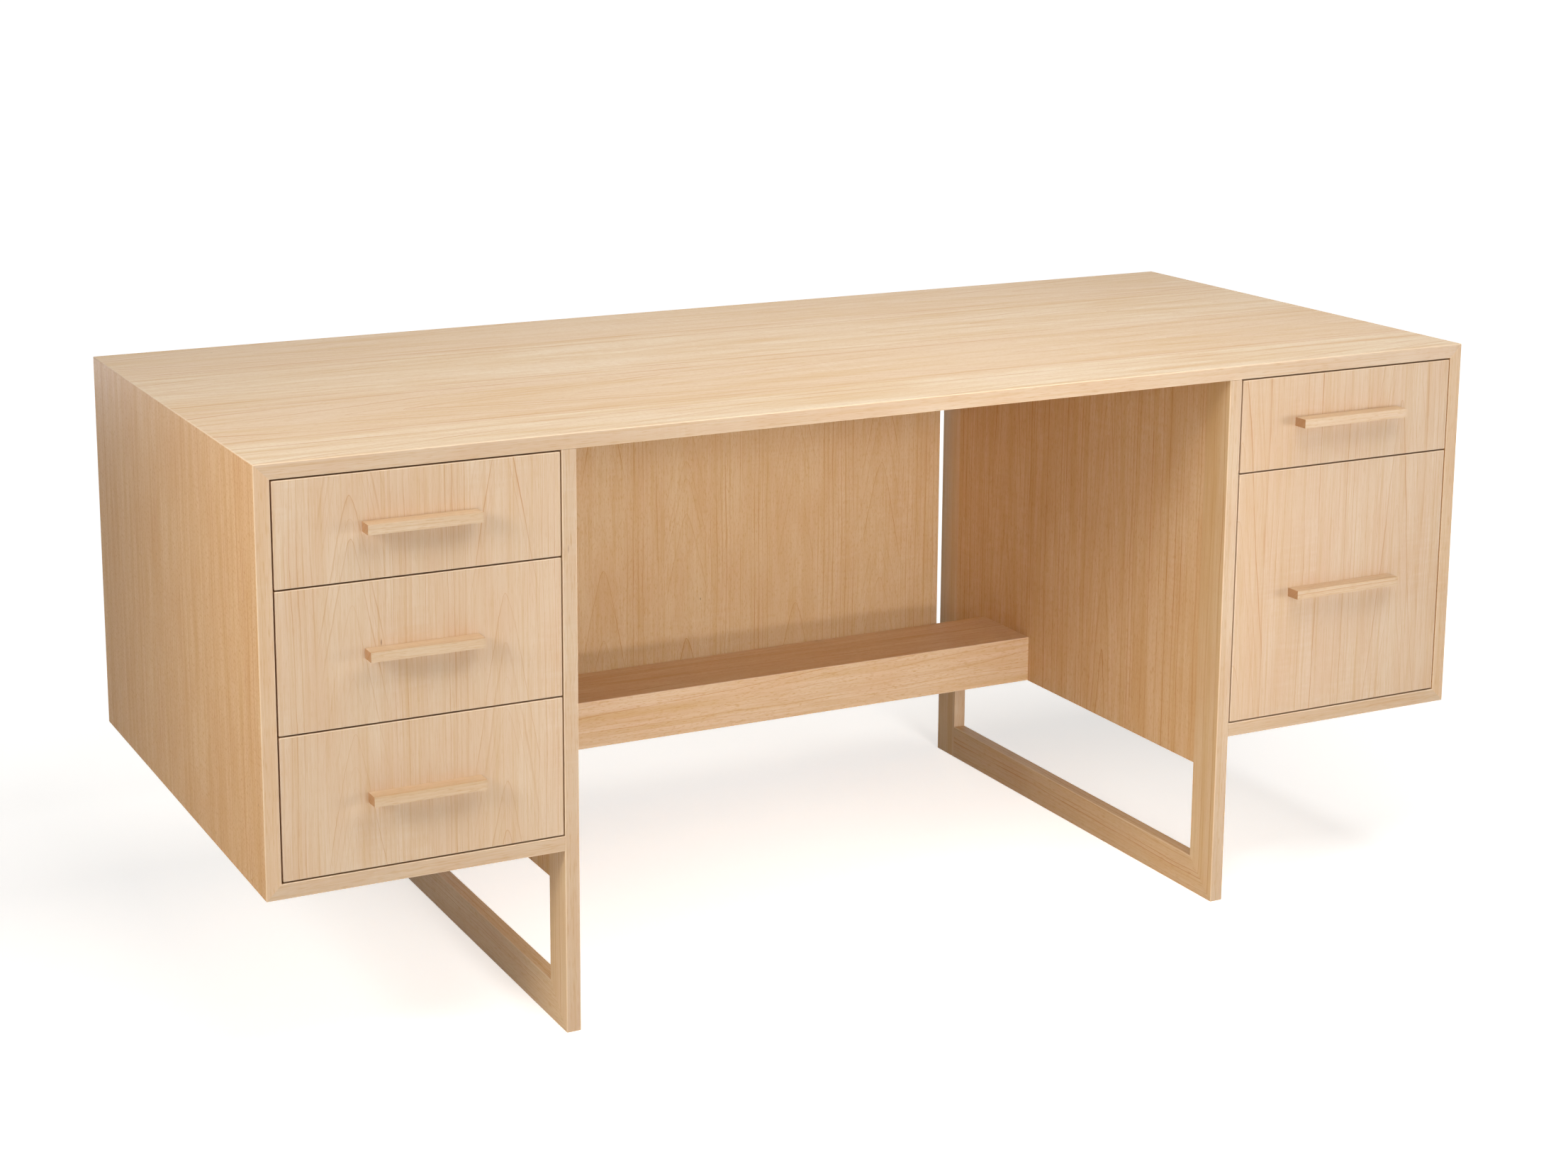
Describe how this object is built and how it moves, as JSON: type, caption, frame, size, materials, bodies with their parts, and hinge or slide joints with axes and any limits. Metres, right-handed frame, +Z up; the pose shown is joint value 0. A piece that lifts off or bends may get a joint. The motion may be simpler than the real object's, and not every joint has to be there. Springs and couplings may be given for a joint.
{
  "type": "pedestal desk",
  "caption": "Writing desk with a mitred maple case carried on two leg frames, drawer pedestals that overhang the legs, a tie beam and a modesty panel.",
  "frame": {"origin": "on the floor, at the middle of the desk's footprint with the pulls counted in its depth", "axes": "+X along the desk to the right as seen by the person sitting at it, +Y from the drawer fronts to the back, +Z up"},
  "size_m": [1.728, 0.753, 0.75],
  "materials": {
    "maple_veneer": "satin lacquered maple veneer on board",
    "maple_solid": "satin lacquered solid maple",
    "box_birch": "clear lacquered birch plywood",
    "slide_steel": "zinc plated, cold rolled",
    "screw_steel": "zinc plated"
  },
  "bodies": {
    "desk_frame": {"beam_front_board": "maple_veneer", "beam_rear_board": "maple_veneer", "beam_top_board": "maple_veneer", "left_back_panel": "maple_veneer", "left_bottom_panel": "maple_veneer", "left_floor_rail": "maple_solid", "left_front_leg": "maple_solid", "left_gable_panel": "maple_veneer", "left_rear_leg": "maple_solid", "left_side_panel": "maple_veneer", "modesty_panel": "maple_veneer", "right_back_panel": "maple_veneer", "right_bottom_panel": "maple_veneer", "right_floor_rail": "maple_solid", "right_front_leg": "maple_solid", "right_gable_panel": "maple_veneer", "right_rear_leg": "maple_solid", "right_side_panel": "maple_veneer", "slide_tracks": "slide_steel", "top_panel": "maple_veneer"},
    "left_top_drawer": {"left_top_drawer_box_bottom": "box_birch", "left_top_drawer_box_ends": "box_birch", "left_top_drawer_box_sides": "box_birch", "left_top_drawer_front": "maple_veneer", "left_top_drawer_pull": "maple_solid", "left_top_drawer_pull_screws": "screw_steel", "left_top_drawer_slide_rails": "slide_steel"},
    "left_top_slide_middles": {"left_top_drawer_slide_middles": "slide_steel"},
    "left_middle_drawer": {"left_middle_drawer_box_bottom": "box_birch", "left_middle_drawer_box_ends": "box_birch", "left_middle_drawer_box_sides": "box_birch", "left_middle_drawer_front": "maple_veneer", "left_middle_drawer_pull": "maple_solid", "left_middle_drawer_pull_screws": "screw_steel", "left_middle_drawer_slide_rails": "slide_steel"},
    "left_middle_slide_middles": {"left_middle_drawer_slide_middles": "slide_steel"},
    "left_bottom_drawer": {"left_bottom_drawer_box_bottom": "box_birch", "left_bottom_drawer_box_ends": "box_birch", "left_bottom_drawer_box_sides": "box_birch", "left_bottom_drawer_front": "maple_veneer", "left_bottom_drawer_pull": "maple_solid", "left_bottom_drawer_pull_screws": "screw_steel", "left_bottom_drawer_slide_rails": "slide_steel"},
    "left_bottom_slide_middles": {"left_bottom_drawer_slide_middles": "slide_steel"},
    "right_top_drawer": {"right_top_drawer_box_bottom": "box_birch", "right_top_drawer_box_ends": "box_birch", "right_top_drawer_box_sides": "box_birch", "right_top_drawer_front": "maple_veneer", "right_top_drawer_pull": "maple_solid", "right_top_drawer_pull_screws": "screw_steel", "right_top_drawer_slide_rails": "slide_steel"},
    "right_top_slide_middles": {"right_top_drawer_slide_middles": "slide_steel"},
    "right_file_drawer": {"right_file_drawer_box_bottom": "box_birch", "right_file_drawer_box_ends": "box_birch", "right_file_drawer_box_sides": "box_birch", "right_file_drawer_front": "maple_veneer", "right_file_drawer_pull": "maple_solid", "right_file_drawer_pull_screws": "screw_steel", "right_file_drawer_slide_rails": "slide_steel"},
    "right_file_slide_middles": {"right_file_drawer_slide_middles": "slide_steel"}
  },
  "joints": [
    {"name": "left_top_drawer_travel", "type": "slide", "parent": "desk_frame", "child": "left_top_drawer", "axis": [0, -1, 0], "range_m": [0, 0.55]},
    {"name": "left_top_slide_middles_travel", "type": "slide", "parent": "desk_frame", "child": "left_top_slide_middles", "axis": [0, -1, 0], "range_m": [0, 0.275]},
    {"name": "left_middle_drawer_travel", "type": "slide", "parent": "desk_frame", "child": "left_middle_drawer", "axis": [0, -1, 0], "range_m": [0, 0.55]},
    {"name": "left_middle_slide_middles_travel", "type": "slide", "parent": "desk_frame", "child": "left_middle_slide_middles", "axis": [0, -1, 0], "range_m": [0, 0.275]},
    {"name": "left_bottom_drawer_travel", "type": "slide", "parent": "desk_frame", "child": "left_bottom_drawer", "axis": [0, -1, 0], "range_m": [0, 0.55]},
    {"name": "left_bottom_slide_middles_travel", "type": "slide", "parent": "desk_frame", "child": "left_bottom_slide_middles", "axis": [0, -1, 0], "range_m": [0, 0.275]},
    {"name": "right_top_drawer_travel", "type": "slide", "parent": "desk_frame", "child": "right_top_drawer", "axis": [0, -1, 0], "range_m": [0, 0.55]},
    {"name": "right_top_slide_middles_travel", "type": "slide", "parent": "desk_frame", "child": "right_top_slide_middles", "axis": [0, -1, 0], "range_m": [0, 0.275]},
    {"name": "right_file_drawer_travel", "type": "slide", "parent": "desk_frame", "child": "right_file_drawer", "axis": [0, -1, 0], "range_m": [0, 0.55]},
    {"name": "right_file_slide_middles_travel", "type": "slide", "parent": "desk_frame", "child": "right_file_slide_middles", "axis": [0, -1, 0], "range_m": [0, 0.275]}
  ],
  "couplings": [
    {"joint": "left_top_slide_middles_travel", "follows": "left_top_drawer_travel", "ratio": 0.5},
    {"joint": "left_middle_slide_middles_travel", "follows": "left_middle_drawer_travel", "ratio": 0.5},
    {"joint": "left_bottom_slide_middles_travel", "follows": "left_bottom_drawer_travel", "ratio": 0.5},
    {"joint": "right_top_slide_middles_travel", "follows": "right_top_drawer_travel", "ratio": 0.5},
    {"joint": "right_file_slide_middles_travel", "follows": "right_file_drawer_travel", "ratio": 0.5}
  ]
}
